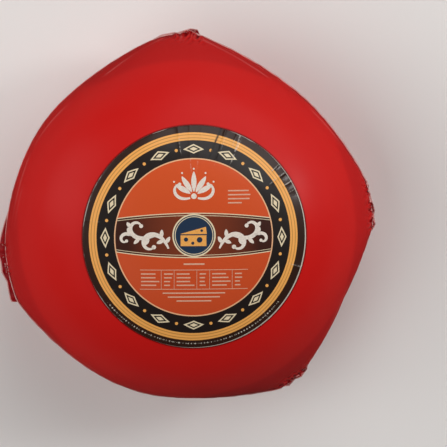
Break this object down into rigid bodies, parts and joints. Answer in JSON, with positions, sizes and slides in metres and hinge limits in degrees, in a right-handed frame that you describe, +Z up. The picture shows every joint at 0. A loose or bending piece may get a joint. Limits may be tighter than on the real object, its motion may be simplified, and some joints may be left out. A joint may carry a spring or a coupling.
{
  "type": "film-wrapped ball of cheese",
  "caption": "Ball of semi-hard cheese lying on its flat base in a red shrink bag, with crumpled bag corners round its waist and a round paper label on its domed top.",
  "frame": {"origin": "middle of the flat base that the ball lies on", "axes": "+Z up through the label, out of the domed top; +Y towards the bag corner at the top of the label's print; +X towards the label's right"},
  "size_m": [0.2283, 0.2236, 0.1317],
  "materials": {
    "film": "red multilayer shrink film, drawn tight, soft gloss",
    "label": "coated paper printed in charcoal, golden yellow, orange and brown rings"
  },
  "bodies": {
    "root": {"wrapped_ball": "film", "label": "label"}
  },
  "joints": []
}
